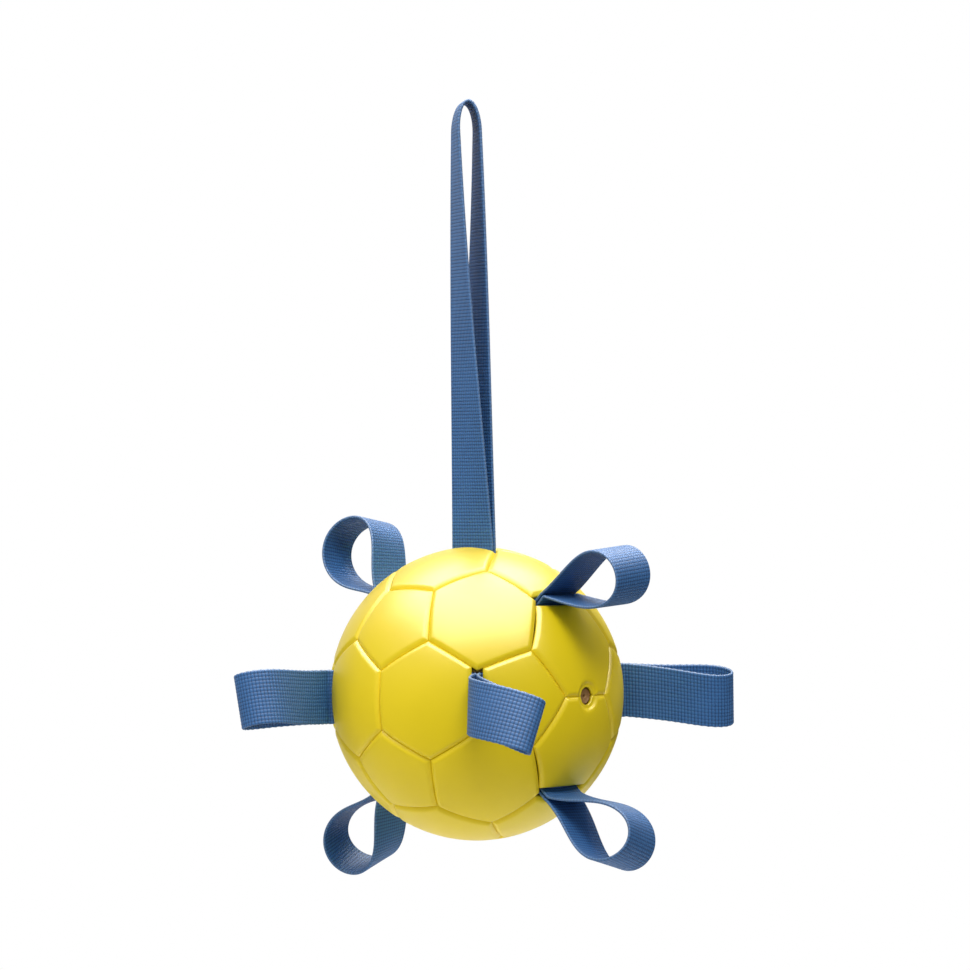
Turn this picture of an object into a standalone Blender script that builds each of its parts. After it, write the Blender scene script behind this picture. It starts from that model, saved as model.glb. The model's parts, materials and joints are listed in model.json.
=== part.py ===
"""Inflatable dog ball with a webbing handle and eight webbing grab tabs, hanging from its handle.

Metres, +Z up. The origin is the point inside the top of the handle where a hook or a hand holds it.
The ball is laid up in layers: bladder with valve, carcass, and 32 bonded cover panels. Each strap is
caught in one seam of the cover: its root is bonded between carcass and panels, and its loop swings
about the line where it leaves the seam.
"""

import math

import bmesh
import bpy
import numpy as np
from mathutils import Matrix, Vector

# Ball layers
BALL_RADIUS = 0.0742
PANEL_THICKNESS = 0.0034
PANEL_SHOULDER = 0.0018
SEAM_GAP = 0.0004
LAYER_GAP = 0.0004
CARCASS_THICKNESS = 0.0034
BLADDER_THICKNESS = 0.0012
SPHERE_SEGMENTS = 32
PANEL_STEPS = 3
PATCH_STEPS = 4
ARC_STEPS = 4

# Webbing
PLY = 0.0014
LEG_GAP = 0.0006
FOLD_SWELL = 0.00015
SLOT_CLEARANCE = 0.0006
SLOT_END_CLEARANCE = 0.0007
HINGE_RISE = 0.0018
HINGE_GAP = 0.0003
FLANGE_LENGTH = 0.0120
TAB_LENGTH = 0.1230
TAB_TWIST_SPAN = 0.0500
TAB_STEPS = 32
FOLD_SEGMENTS = 16

# Handle
HANDLE_RISE = 0.2227
HANDLE_SPREAD = 0.0110
HANDLE_BEND = 0.0150
HANDLE_TWIST = math.radians(43)
HANDLE_TWIST_EASE = 0.33
HANDLE_LEG_STEPS = 18
HANDLE_BEND_STEPS = 14

# Valve
VALVE_HEAD_RADIUS = 0.0040
VALVE_HEAD_THICKNESS = 0.0022
VALVE_STEM_RADIUS = 0.0024
VALVE_STEM_LENGTH = 0.0160
VALVE_CLEARANCE = 0.0004
NEEDLE_RADIUS = 0.0008
NEEDLE_DEPTH = 0.0120
HOUSING_RADIUS = 0.0110
HOUSING_RIM = 0.0020
HOUSING_WALL = 0.0026
TURN_STEPS = 24

# Sizes that follow from the ones above
GOLDEN = (1 + math.sqrt(5)) / 2
SEAM_SHARE = 2 / math.hypot(1, 3 * GOLDEN)
PANEL_INNER = BALL_RADIUS - PANEL_THICKNESS
WEBBING_WIDTH = SEAM_SHARE * PANEL_INNER - 2 * SLOT_END_CLEARANCE
LEG_PITCH = PLY + LEG_GAP
STEM_HALF = (LEG_PITCH + PLY) / 2
FOLD_RADIUS = STEM_HALF + FOLD_SWELL
SLOT_HALF = FOLD_RADIUS + SLOT_CLEARANCE
HINGE_RADIUS = BALL_RADIUS + HINGE_RISE
CARCASS_RADIUS = PANEL_INNER - LAYER_GAP
BLADDER_RADIUS = CARCASS_RADIUS - CARCASS_THICKNESS - LAYER_GAP
FACET_SHARE = math.cos(math.pi / SPHERE_SEGMENTS) ** 2
VALVE_BORE = VALVE_HEAD_RADIUS + VALVE_CLEARANCE
BALL_CENTRE = Vector((0, 0, -(HINGE_RADIUS + HANDLE_RISE - PLY / 2)))

# Each tab: side of the ball, then how its loop hangs, in degrees: lean across the slot, sway along it,
# twist over its length and flare of its two legs; and how round the loop is (negative is rounder).
TABS = {
    "tab_front": ((-0.75, -0.67, 0), 23, -11, 22, 3, -0.29),
    "tab_right": ((0.75, -0.67, 0), -8, -5, -12, 14, 0.20),
    "tab_left": ((-0.75, 0.67, 0), 35, 1, -12, 13, 0.20),
    "tab_back": ((0.75, 0.67, 0), 0, 0, 0, 10, -0.15),
    "tab_upper_right": ((0, -0.75, 0.67), 27, -5, -5, 15, 0.01),
    "tab_lower_right": ((0, -0.75, -0.67), -11, 3, 20, 15, -0.01),
    "tab_upper_left": ((0, 0.75, 0.67), 0, 4, -16, 15, -0.26),
    "tab_lower_left": ((0, 0.75, -0.67), -5, -1, 23, 13, -0.09),
}
HANDLE_SIDE = (0, 0, 1)
VALVE_SIDE = (0, -1, 0)

MATERIALS = {
    "yellow_rubber": ((0.83, 0.62, 0.03, 1), 0.45),
    "blue_webbing": ((0.06, 0.16, 0.40, 1), 0.85),
    "carcass_fabric": ((0.62, 0.60, 0.55, 1), 0.90),
    "bladder_rubber": ((0.03, 0.03, 0.03, 1), 0.60),
    "valve_rubber": ((0.36, 0.22, 0.08, 1), 0.60),
}


def clear_scene():
    for obj in list(bpy.data.objects):
        bpy.data.objects.remove(obj)
    for collection in list(bpy.data.collections):
        bpy.data.collections.remove(collection)


def new_collection(name):
    collection = bpy.data.collections.new(name)
    bpy.context.scene.collection.children.link(collection)
    return collection


def new_material(name, colour, roughness):
    material = bpy.data.materials.new(name)
    material.use_nodes = True
    shader = material.node_tree.nodes["Principled BSDF"]
    shader.inputs["Base Color"].default_value = colour
    shader.inputs["Roughness"].default_value = roughness
    shader.inputs["Metallic"].default_value = 0
    material.diffuse_color = colour
    return material


def new_empty(name, location, parent=None):
    empty = bpy.data.objects.new(name, None)
    empty.empty_display_size = 0.01
    empty.matrix_local = location
    empty.parent = parent
    PARTS.objects.link(empty)
    return empty


def new_object(name, bm, parent, material=None):
    """A part from a bmesh, or a cutter when it has no material."""
    if not any(edge.is_boundary for edge in bm.edges):
        bmesh.ops.recalc_face_normals(bm, faces=bm.faces[:])
    mesh = bpy.data.meshes.new(name)
    bm.to_mesh(mesh)
    bm.free()
    for polygon in mesh.polygons:
        polygon.use_smooth = True
    mesh.set_sharp_from_angle(angle=math.radians(40))
    obj = bpy.data.objects.new(name, mesh)
    obj.parent = parent
    if material:
        mesh.materials.append(SHADES[material])
        PARTS.objects.link(obj)
    else:
        obj.hide_render = True
        obj.display_type = "WIRE"
        CUTTERS.objects.link(obj)
    return obj


def add_solidify(obj, thickness, offset):
    modifier = obj.modifiers.new("thickness", "SOLIDIFY")
    modifier.thickness = thickness
    modifier.offset = offset
    modifier.use_even_offset = True
    modifier.use_quality_normals = True


def add_boolean(obj, other, operation):
    modifier = obj.modifiers.new(operation.lower(), "BOOLEAN")
    modifier.operation = operation
    modifier.solver = "EXACT"
    modifier.object = other


def add_screw(obj):
    modifier = obj.modifiers.new("turning", "SCREW")
    modifier.steps = TURN_STEPS
    modifier.render_steps = TURN_STEPS
    modifier.use_merge_vertices = True
    modifier.merge_threshold = 0.00001
    modifier.use_smooth_shade = True


def turned(name, profile, closed, parent, material=None):
    """A body of revolution about local Z. The profile lists (radius, height) with its outside downwards."""
    bm = bmesh.new()
    points = [bm.verts.new((radius, 0, height)) for radius, height in profile]
    for first, second in zip(points, points[1:]):
        bm.edges.new((first, second))
    if closed:
        bm.edges.new((points[-1], points[0]))
    obj = new_object(name, bm, parent, material)
    add_screw(obj)
    return obj


def seam_net():
    """The truncated icosahedron of the seams: an icosahedron with corners cut at a third of the edges."""
    bm = bmesh.new()
    for shift in range(3):
        for a in (-1, 1):
            for b in (-GOLDEN, GOLDEN):
                bm.verts.new(np.roll((0, a, b), shift))
    bmesh.ops.convex_hull(bm, input=bm.verts[:])
    bmesh.ops.bevel(
        bm,
        geom=bm.verts[:],
        offset=100 / 3,
        offset_type="PERCENT",
        segments=1,
        affect="VERTICES",
        clamp_overlap=False,
    )
    bmesh.ops.recalc_face_normals(bm, faces=bm.faces[:])
    for vertex in bm.verts:
        vertex.co.normalize()
    bm.edges.ensure_lookup_table()
    return bm


def middle(edge):
    return (edge.verts[0].co + edge.verts[1].co).normalized()


def seam_at(net, side):
    return max(net.edges, key=lambda edge: middle(edge).dot(Vector(side)))


def slot_frame(edge):
    """Hinge of a strap in the ball's frame: X across the plies, Y along the seam, Z outwards."""
    out = middle(edge)
    along = (edge.verts[1].co - edge.verts[0].co).normalized()
    if max(along, key=abs) < 0:
        along = -along
    across = along.cross(out)
    frame = Matrix((across, along, out)).transposed().to_4x4()
    frame.translation = out * HINGE_RADIUS
    return frame


def panel_corners(corners, setbacks):
    """Corners on the ball of a panel whose sides stand back from the seam lines by the given distances."""
    count = len(corners)
    inward = [corners[i].cross(corners[(i + 1) % count]).normalized() for i in range(count)]
    moved = []
    for i in range(count):
        before, after = inward[i - 1], inward[i]
        near, far = setbacks[i - 1], setbacks[i]
        cosine = before.dot(after)
        spread = 1 - cosine * cosine
        foot = before * ((near - cosine * far) / spread) + after * ((far - cosine * near) / spread)
        rise = before.cross(after).normalized()
        if rise.dot(corners[i]) < 0:
            rise = -rise
        moved.append(foot + rise * math.sqrt(BALL_RADIUS**2 - foot.length_squared))
    return moved


def make_panel(name, corners, setbacks):
    """A spherical panel of even thickness with rolled outer edges."""
    bm = bmesh.new()
    bm.faces.new([bm.verts.new(point) for point in panel_corners(corners, setbacks)])
    bmesh.ops.poke(bm, faces=bm.faces[:])
    bmesh.ops.subdivide_edges(bm, edges=bm.edges[:], cuts=PANEL_STEPS - 1, use_grid_fill=True)
    for vertex in bm.verts:
        vertex.co = vertex.co.normalized() * BALL_RADIUS
    rim = [edge for edge in bm.edges if edge.is_boundary]
    back = bmesh.ops.extrude_face_region(bm, geom=bm.faces[:])
    for item in back["geom"]:
        if isinstance(item, bmesh.types.BMVert):
            item.co = item.co.normalized() * PANEL_INNER
    bmesh.ops.bevel(
        bm, geom=rim, offset=PANEL_SHOULDER, segments=2, profile=0.5, affect="EDGES", clamp_overlap=True
    )
    return new_object(name, bm, BALL, "yellow_rubber")


def make_panels(net, slots, valve_edge, valve_mouth):
    """One panel for each face of the seam net, named from the top of the ball down."""
    order = sorted(
        net.faces,
        key=lambda face: (
            -round(face.calc_center_median().z, 3),
            round(math.atan2(face.calc_center_median().y, face.calc_center_median().x), 3),
        ),
    )
    counts = {5: 0, 6: 0}
    for face in order:
        sides = len(face.verts)
        counts[sides] += 1
        name = f"panel_{'pent' if sides == 5 else 'hex'}_{counts[sides]:02d}"
        corners = [loop.vert.co.copy() for loop in face.loops]
        setbacks = [SLOT_HALF if loop.edge in slots else SEAM_GAP / 2 for loop in face.loops]
        panel = make_panel(name, corners, setbacks)
        if valve_edge in face.edges:
            add_boolean(panel, valve_mouth, "DIFFERENCE")


def on_sphere(across, along, radius):
    """Point of a strap's frame that lies on a sphere about the ball's centre."""
    return Vector((across, along, math.sqrt(radius**2 - across**2 - along**2) - HINGE_RADIUS))


def sphere_patch(half_across, half_along, radius, steps_across=PATCH_STEPS):
    """A patch of a sphere about the ball's centre, as wide and long as the given halves."""
    bm = bmesh.new()
    bmesh.ops.create_grid(bm, x_segments=steps_across, y_segments=PATCH_STEPS, size=1)
    for vertex in bm.verts:
        vertex.co = on_sphere(vertex.co.x * half_across, vertex.co.y * half_along, radius)
    return bm


def make_root(name, hinge):
    """The bonded end of a strap: two plies together in the slot, parting into a flange on the carcass."""
    flange_half = STEM_HALF + FLANGE_LENGTH
    width_half = WEBBING_WIDTH / 2
    flange = new_object(name + "_flange", sphere_patch(flange_half, width_half, CARCASS_RADIUS), hinge)
    add_solidify(flange, PLY, -1)
    bm = sphere_patch(STEM_HALF, width_half, CARCASS_RADIUS - PLY / 2, steps_across=1)
    top = bmesh.ops.extrude_face_region(bm, geom=bm.faces[:])
    for item in top["geom"]:
        if isinstance(item, bmesh.types.BMVert):
            item.co.z = -(FOLD_RADIUS + HINGE_GAP)
    root = new_object(name, bm, hinge, "blue_webbing")
    add_boolean(root, flange, "UNION")


def make_bed(name, hinge):
    """Cutter for the recess in the carcass that a strap's flange lies in."""
    lift = PLY
    patch = sphere_patch(
        STEM_HALF + FLANGE_LENGTH + LAYER_GAP,
        WEBBING_WIDTH / 2 + LAYER_GAP,
        CARCASS_RADIUS + lift,
    )
    bed = new_object(name, patch, hinge)
    add_solidify(bed, lift + PLY + LAYER_GAP, -1)
    return bed


def loop_midline(length, gap, flare, roundness, steps):
    """Mid-line of a free webbing loop in its own plane, as (across, out) points from leg to leg.

    Like a bent elastic strip, it sets out at the flare angle and turns round to come back at the same
    angle: flare and turn are linear in its length s from 0 to 1, with a*sin(2*pi*s) and
    roundness*sin(4*pi*s) on top. The bow a is found by halving until the legs come back to the gap.
    """
    fine = 20 * steps
    s = (np.arange(fine) + 0.5) / fine

    def heading(bow):
        even = (np.pi + 2 * flare) * s - flare
        return even + bow * np.sin(2 * np.pi * s) + roundness * np.sin(4 * np.pi * s)

    low, high = -2.0, 0.4
    for _ in range(60):
        bow = (low + high) / 2
        if np.sin(heading(bow)).mean() * length > gap:
            high = bow
        else:
            low = bow
    turn = heading(bow)
    steps_out = np.stack([np.sin(turn), np.cos(turn)], axis=1) * (length / fine)
    points = np.vstack([np.zeros((1, 2)), np.cumsum(steps_out, axis=0)])[:: fine // steps]
    points[:, 0] -= gap / 2
    return points


def handle_midline():
    """Mid-line of the hanging handle: two legs that bow apart, joined by a round bend at the top."""
    straight = HANDLE_RISE - HANDLE_BEND
    up = np.linspace(0, 1, HANDLE_LEG_STEPS + 1)
    half = LEG_PITCH / 2 + (HANDLE_SPREAD - LEG_PITCH) / 2 * np.sin(np.pi / 2 * up)
    left = np.stack([-half, straight * up], axis=1)
    round_top = np.linspace(np.pi, 0, HANDLE_BEND_STEPS + 1)[1:-1]
    bend = np.stack(
        [HANDLE_SPREAD / 2 * np.cos(round_top), straight + HANDLE_BEND * np.sin(round_top)], axis=1
    )
    right = left[::-1] * (-1, 1)
    return np.vstack([left, bend, right])


def handle_turns(midline):
    """Turn of the handle at each point of its mid-line: quick above the seam and slower towards the top."""
    share = midline[:, 1] / HANDLE_RISE
    return HANDLE_TWIST * share * (1 + HANDLE_TWIST_EASE * (1 - share))


def hung(point, along, turn, lean, sway):
    """Places a point of a strap's flat plane: turned about the way out, swayed along the slot, leaned."""
    across, out = point
    x = across * math.cos(turn) + along * math.sin(turn)
    y = along * math.cos(turn) - across * math.sin(turn) + out * math.tan(sway)
    return Vector((x * math.cos(lean) + out * math.sin(lean), y, out * math.cos(lean) - x * math.sin(lean)))


def make_loop(name, parent, midline, turns, lean=0, sway=0):
    """A webbing loop, turned at each point of its mid-line, whose two legs meet in a fold on the hinge."""
    steps = len(midline) - 1
    bm = bmesh.new()
    bmesh.ops.create_grid(bm, x_segments=steps, y_segments=1, size=1)
    for vertex in bm.verts:
        index = round((vertex.co.x + 1) / 2 * steps)
        vertex.co = hung(midline[index], vertex.co.y * WEBBING_WIDTH / 2, turns[index], lean, sway)
    loop = new_object(name, bm, parent, "blue_webbing")
    add_solidify(loop, PLY, 0)
    bm = bmesh.new()
    bmesh.ops.create_cone(
        bm,
        cap_ends=True,
        segments=FOLD_SEGMENTS,
        radius1=FOLD_RADIUS,
        radius2=FOLD_RADIUS,
        depth=WEBBING_WIDTH,
    )
    bmesh.ops.rotate(bm, verts=bm.verts[:], cent=(0, 0, 0), matrix=Matrix.Rotation(math.pi / 2, 3, "X"))
    fold = new_object(name + "_fold", bm, parent)
    add_boolean(loop, fold, "UNION")


def make_sphere_layer(name, radius, thickness, material, cutters):
    bm = bmesh.new()
    bmesh.ops.create_uvsphere(
        bm, u_segments=SPHERE_SEGMENTS, v_segments=SPHERE_SEGMENTS // 2, radius=radius
    )
    layer = new_object(name, bm, BALL, material)
    add_solidify(layer, thickness, -1)
    for cutter in cutters:
        add_boolean(layer, cutter, "DIFFERENCE")


def make_valve():
    """Valve housing bonded inside the bladder and the push-in valve core, along the valve's own Z axis."""
    head_low = CARCASS_RADIUS + LAYER_GAP
    head_top = head_low + VALVE_HEAD_THICKNESS
    stem_end = head_low - VALVE_STEM_LENGTH
    core = [
        (0, head_top - NEEDLE_DEPTH),
        (NEEDLE_RADIUS, head_top - NEEDLE_DEPTH),
        (NEEDLE_RADIUS, head_top - NEEDLE_RADIUS),
        (2 * NEEDLE_RADIUS, head_top),
        (VALVE_HEAD_RADIUS, head_top),
        (VALVE_HEAD_RADIUS, head_low),
        (VALVE_STEM_RADIUS, head_low),
        (VALVE_STEM_RADIUS, stem_end + VALVE_STEM_RADIUS),
        (0, stem_end),
    ]
    turned("valve_core", core, False, VALVE, "valve_rubber")

    bore = VALVE_STEM_RADIUS + VALVE_CLEARANCE
    dome = (BLADDER_RADIUS - BLADDER_THICKNESS) * FACET_SHARE - LAYER_GAP
    arc = [bore + (HOUSING_RADIUS - bore) * k / ARC_STEPS for k in range(ARC_STEPS + 1)]
    top = [(radius, math.sqrt(dome**2 - radius**2)) for radius in arc]
    rim_low = top[-1][1] - HOUSING_RIM
    neck = bore + HOUSING_WALL
    housing = top + [
        (HOUSING_RADIUS, rim_low),
        (neck, rim_low - HOUSING_RIM / 2),
        (neck, stem_end),
        (bore, stem_end),
    ]
    turned("valve_housing", housing, True, VALVE, "bladder_rubber")


def make_valve_cutters():
    """The rolled mouth through the cover, and the bore through carcass and bladder."""
    lip = PANEL_SHOULDER
    arc = [math.pi / 2 * k / ARC_STEPS for k in range(ARC_STEPS + 1)]
    rolled = [
        (VALVE_BORE + lip * (1 - math.sin(a)), BALL_RADIUS - lip * (1 - math.cos(a)))
        for a in arc
    ]
    top = BALL_RADIUS + lip
    mouth = [(0, top), (VALVE_BORE + lip, top)] + rolled
    mouth += [(VALVE_BORE, PANEL_INNER - lip), (0, PANEL_INNER - lip)]
    bore = VALVE_STEM_RADIUS + VALVE_CLEARANCE
    inner = [(0, BALL_RADIUS), (bore, BALL_RADIUS), (bore, BLADDER_RADIUS / 2), (0, BLADDER_RADIUS / 2)]
    return turned("valve_mouth", mouth, False, VALVE), turned("valve_bore", inner, False, VALVE)


clear_scene()
PARTS = new_collection("dog_ball")
CUTTERS = new_collection("cutters")
SHADES = {name: new_material(name, colour, rough) for name, (colour, rough) in MATERIALS.items()}

NET = seam_net()
HANDLE_EDGE = seam_at(NET, HANDLE_SIDE)
VALVE_EDGE = seam_at(NET, VALVE_SIDE)
TAB_EDGES = {name: seam_at(NET, values[0]) for name, values in TABS.items()}

HANDLE_FRAME = slot_frame(HANDLE_EDGE)
SWING = new_empty("ball_swing_axis", Matrix.Translation(BALL_CENTRE) @ HANDLE_FRAME)
BALL = new_empty("ball_centre", HANDLE_FRAME.inverted(), SWING)
VALVE = new_empty("valve_axis", middle(VALVE_EDGE).to_track_quat("Z", "Y").to_matrix().to_4x4(), BALL)

VALVE_MOUTH, VALVE_HOLE = make_valve_cutters()
make_panels(NET, [HANDLE_EDGE, *TAB_EDGES.values()], VALVE_EDGE, VALVE_MOUTH)
make_valve()

BEDS = [make_bed("handle_bed", SWING)]
make_root("handle_root", SWING)
HANDLE_HINGE = new_empty("handle_hinge", Matrix.Translation(BALL_CENTRE) @ HANDLE_FRAME)
HANDLE_LINE = handle_midline()
make_loop("handle_loop", HANDLE_HINGE, HANDLE_LINE, handle_turns(HANDLE_LINE))

for tab, (_, lean, sway, twist, flare, roundness) in TABS.items():
    hinge = new_empty(tab + "_hinge", slot_frame(TAB_EDGES[tab]), BALL)
    BEDS.append(make_bed(tab + "_bed", hinge))
    make_root(tab + "_root", hinge)
    midline = loop_midline(TAB_LENGTH, LEG_PITCH, math.radians(flare), roundness, TAB_STEPS)
    turns = math.radians(twist) / TAB_TWIST_SPAN * midline[:, 1]
    make_loop(tab + "_loop", hinge, midline, turns, math.radians(lean), math.radians(sway))

make_sphere_layer("carcass", CARCASS_RADIUS, CARCASS_THICKNESS, "carcass_fabric", [VALVE_HOLE, *BEDS])
make_sphere_layer("bladder", BLADDER_RADIUS, BLADDER_THICKNESS, "bladder_rubber", [VALVE_HOLE])
NET.free()
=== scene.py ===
# %% [markdown]
# # A dog ball with webbing loops
# The toy is an inflated rubber ball with a cover of 32 bonded panels. Strips of blue webbing are caught in
# nine of its seams: eight short tabs and one long handle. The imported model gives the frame: every piece
# below is in metres, in the same place as the solid that it dresses.

# %% Load the frame
import json
import math

import bpy
import numpy as np
from mathutils import Matrix, Vector


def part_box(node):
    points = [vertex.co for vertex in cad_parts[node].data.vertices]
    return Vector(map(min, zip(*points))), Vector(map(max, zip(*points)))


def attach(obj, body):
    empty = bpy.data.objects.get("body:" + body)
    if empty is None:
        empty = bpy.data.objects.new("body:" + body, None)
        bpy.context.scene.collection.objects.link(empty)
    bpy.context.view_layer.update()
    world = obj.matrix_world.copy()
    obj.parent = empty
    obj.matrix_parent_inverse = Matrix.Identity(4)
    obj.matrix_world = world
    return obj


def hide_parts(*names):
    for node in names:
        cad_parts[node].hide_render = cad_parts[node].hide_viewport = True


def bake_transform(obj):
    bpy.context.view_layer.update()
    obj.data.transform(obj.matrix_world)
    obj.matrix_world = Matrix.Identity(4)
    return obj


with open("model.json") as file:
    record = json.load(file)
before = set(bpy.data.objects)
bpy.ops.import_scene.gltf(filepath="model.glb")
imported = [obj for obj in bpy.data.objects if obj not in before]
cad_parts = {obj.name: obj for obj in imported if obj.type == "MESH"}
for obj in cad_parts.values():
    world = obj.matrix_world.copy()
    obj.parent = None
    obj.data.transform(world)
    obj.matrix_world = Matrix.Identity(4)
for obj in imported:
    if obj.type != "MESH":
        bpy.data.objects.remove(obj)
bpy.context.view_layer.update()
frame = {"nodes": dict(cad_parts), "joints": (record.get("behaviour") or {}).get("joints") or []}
JOINTS = {joint["child"]: joint for joint in frame["joints"]}
PANEL_NODES = [name for name in frame["nodes"] if name.startswith("panel_")]
print(len(frame["nodes"]), "nodes,", len(PANEL_NODES), "of them cover panels")

# %% [markdown]
# ## Sizes
# The hinge of the handle lies on the top seam, straight above the ball's middle, so the middle is one hinge
# radius below it. All other sizes of the cover and the webbing hang on these few.

# %% Sizes
BALL_RADIUS = 0.0742
HINGE_RADIUS = 0.0760
PANEL_THICKNESS = 0.0034
CARCASS_RADIUS = 0.0704
EDGE_ROLL = 0.0028
EDGE_DROP = 0.0015
PLY = 0.0012
LEG_PITCH = 0.0020
WEBBING_WIDTH = 0.02718
BALL_CENTRE = np.array(JOINTS["ball"]["pos_m"]) - (0, 0, HINGE_RADIUS)
print("ball centre", BALL_CENTRE.round(4))

# %% [markdown]
# ## Camera
# The photograph was taken level, from far away with a long lens. The ball's seam corners were measured in
# the picture and fitted, which gives the turn, tilt and roll of the ball in view and where its middle lies.
# The camera is placed from those numbers: the view's axes are right, forwards and up. Placing it by eye
# would be quicker, but then the seams would not line up with the photograph's.

# %% Camera
IMAGE_PIXELS = 970
FOCAL_PIXELS = 4947.3
SENSOR_MILLIMETRES = 36
CAMERA_DISTANCE = 2.5
BALL_IN_VIEW = Vector((-0.00416, 0, -0.1053))
VIEW_TURN, VIEW_TILT, VIEW_ROLL = (math.radians(angle) for angle in (48.71, 0.37, -1.06))

view_from_row = (
    Matrix.Rotation(VIEW_ROLL, 3, "Y")
    @ Matrix.Rotation(VIEW_TILT, 3, "X")
    @ Matrix.Rotation(VIEW_TURN, 3, "Z")
)
row_from_view = view_from_row.transposed()


def in_row(right, forwards, up):
    """A point given from the ball's middle along the view's right, forwards and up, in the row frame."""
    return Vector(BALL_CENTRE) + row_from_view @ Vector((right, forwards, up))


camera_data = bpy.data.cameras.new("camera")
camera_data.sensor_width = SENSOR_MILLIMETRES
camera_data.lens = FOCAL_PIXELS / IMAGE_PIXELS * SENSOR_MILLIMETRES
camera = bpy.data.objects.new("camera", camera_data)
bpy.context.scene.collection.objects.link(camera)
camera_place = in_row(*(Vector((0, -CAMERA_DISTANCE, 0)) - BALL_IN_VIEW))
camera_turn = row_from_view @ Matrix.Rotation(math.pi / 2, 3, "X")
camera.matrix_world = Matrix.Translation(camera_place) @ camera_turn.to_4x4()
bpy.context.scene.camera = camera
print("camera at", [round(value, 3) for value in camera_place], "lens", round(camera_data.lens, 1), "mm")

# %% [markdown]
# ## Meshes from grids
# Every new piece is a closed skin: rows of points, each row a closed ring. Neighbouring rows are joined by
# four-sided faces and the first and last row are closed by a fan, so no edge stays open. The signed volume
# says whether the faces point outwards; if not, they are all turned. Ready-made shapes with modifiers would
# need less code, but they can't follow the seams or a strip's bends as a formula does.


# %% Mesh helper
def ring_faces(rows, columns):
    """Faces of a tube of rows x columns points, with one more point after them for each end."""
    row, column = np.meshgrid(np.arange(rows - 1), np.arange(columns), indexing="ij")
    following = (column + 1) % columns
    here = row * columns
    next_row = here + columns
    corners = [here + column, here + following, next_row + following, next_row + column]
    quads = np.stack(corners, axis=-1).reshape(-1, 4)
    around = np.arange(columns)
    after = (around + 1) % columns
    last = (rows - 1) * columns
    near_fan = np.stack([after, around, np.full(columns, rows * columns)], axis=-1)
    far_fan = np.stack([last + around, last + after, np.full(columns, rows * columns + 1)], axis=-1)
    return quads, np.vstack([near_fan, far_fan])


def closed_skin(name, grid, finish, chart=None):
    """A smooth closed mesh from rings of points; chart holds a UV pair for each point of the grid."""
    rows, columns = grid.shape[:2]
    points = np.vstack([grid.reshape(-1, 3), grid[0].mean(axis=0), grid[-1].mean(axis=0)])
    quads, fans = ring_faces(rows, columns)
    triangles = np.vstack([quads[:, [0, 1, 2]], quads[:, [0, 2, 3]], fans])
    a, b, c = (points[triangles[:, k]] for k in range(3))
    if np.einsum("ij,ij->i", a, np.cross(b, c)).sum() < 0:
        quads, fans = quads[:, ::-1], fans[:, ::-1]
    mesh = bpy.data.meshes.new(name)
    mesh.from_pydata(points, [], quads.tolist() + fans.tolist())
    mesh.shade_smooth()
    if chart is not None:
        pairs = np.vstack([chart.reshape(-1, 2), chart[0].mean(axis=0), chart[-1].mean(axis=0)])
        corner_points = np.empty(len(mesh.loops), dtype=np.int32)
        mesh.loops.foreach_get("vertex_index", corner_points)
        mesh.uv_layers.new(name="chart").uv.foreach_set("vector", pairs[corner_points].ravel())
    mesh.materials.append(finish)
    piece = bpy.data.objects.new(name, mesh)
    bpy.context.scene.collection.objects.link(piece)
    return piece


# %% [markdown]
# ## Shader sums
# A finish is easier to read as a sum than as a web of nodes. `Value` wraps a socket, and each operator adds
# one Math node. `Finish.node` adds any other node: its settings first, then its sockets.


# %% Shader helpers
class Value:
    """A shader output that takes part in Python sums."""

    def __init__(self, finish, socket):
        self.finish = finish
        self.socket = socket

    def math(self, operation, *others):
        """A Math node with this value first and the others after it."""
        sockets = dict(enumerate((self, *others)))
        return self.finish.node("ShaderNodeMath", {"operation": operation}, sockets)

    def __add__(self, other):
        return self.math("ADD", other)

    def __sub__(self, other):
        return self.math("SUBTRACT", other)

    def __rsub__(self, other):
        return self * -1 + other

    def __mul__(self, other):
        return self.math("MULTIPLY", other)

    def __truediv__(self, other):
        return self.math("DIVIDE", other)

    def __pow__(self, other):
        return self.math("POWER", other)

    __radd__ = __add__
    __rmul__ = __mul__

    def wave(self):
        """Half a sine arch for each unit: 0 at whole numbers, 1 between them."""
        return (self * math.pi).math("SINE").math("ABSOLUTE")

    def between(self, low, high):
        """Runs smoothly from 0 to 1 as the value goes from low to high."""
        settings = {"interpolation_type": "SMOOTHSTEP"}
        return self.finish.node("ShaderNodeMapRange", settings, {0: self, 1: low, 2: high})


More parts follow.
